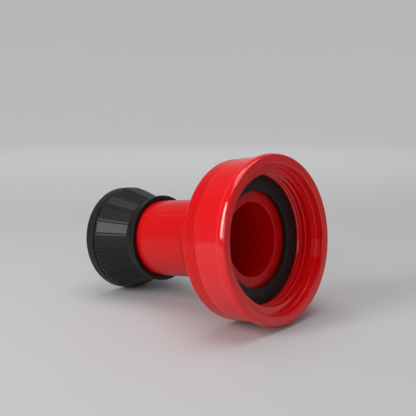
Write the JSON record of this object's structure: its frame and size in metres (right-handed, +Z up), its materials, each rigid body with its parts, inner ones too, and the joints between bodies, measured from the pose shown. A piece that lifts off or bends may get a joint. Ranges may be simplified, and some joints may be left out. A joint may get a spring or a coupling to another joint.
{
  "type": "fire hose nozzle",
  "caption": "Red plastic fire hose nozzle with a threaded inlet, smooth barrel and a flared, ribbed black fog tip with a rubber bumper round its rim.",
  "frame": {"origin": "on the ground below the middle of the nozzle's box, as it lies on its side", "axes": "+Z up, +X from the outlet to the inlet; the nozzle's own axis dips 7.6 degrees towards the outlet (-X) in the XZ plane, because it rests on the coupling's flange and on the smaller bumper rim"},
  "size_m": [0.1392, 0.096, 0.0971],
  "materials": {
    "red_plastic": "glossy moulded polycarbonate",
    "black_plastic": "satin moulded nylon",
    "bumper_rubber": "smooth satin rubber",
    "seal_rubber": "matt seal rubber",
    "black_acetal": "matt acetal",
    "brass": "turned brass",
    "stainless_steel": "bright stainless steel"
  },
  "bodies": {
    "nozzle": {"nozzle_body": "red_plastic", "inlet_coupling": "red_plastic", "inlet_gasket": "seal_rubber", "spider": "black_acetal", "spider_lock_ring": "brass", "stem": "brass", "stem_washer": "stainless_steel", "stem_lock_washer": "stainless_steel", "stem_nut": "brass", "baffle_seal": "seal_rubber", "baffle": "black_acetal", "baffle_lock_washer": "stainless_steel", "baffle_screw": "stainless_steel", "barrel_o_ring": "seal_rubber"},
    "wiper": {"tip_wiper": "seal_rubber"},
    "tip": {"fog_tip": "black_plastic", "fog_teeth_ring": "black_acetal", "bumper": "bumper_rubber", "cam_pin_1": "stainless_steel", "cam_pin_2": "stainless_steel", "cam_pin_3": "stainless_steel"}
  },
  "joints": [
    {"name": "tip_slide", "type": "slide", "parent": "nozzle", "child": "wiper", "axis": [0.9912, 0, 0.1324], "range_m": [0, 0.007]},
    {"name": "tip_turn", "type": "hinge", "parent": "wiper", "child": "tip", "pos_m": [-0.03963, 0, 0.03598], "axis": [-0.9912, 0, -0.1324], "range_deg": [0, 150]}
  ],
  "couplings": [
    {"joint": "tip_slide", "follows": "tip_turn", "m_per_rad": 0.0026738}
  ]
}
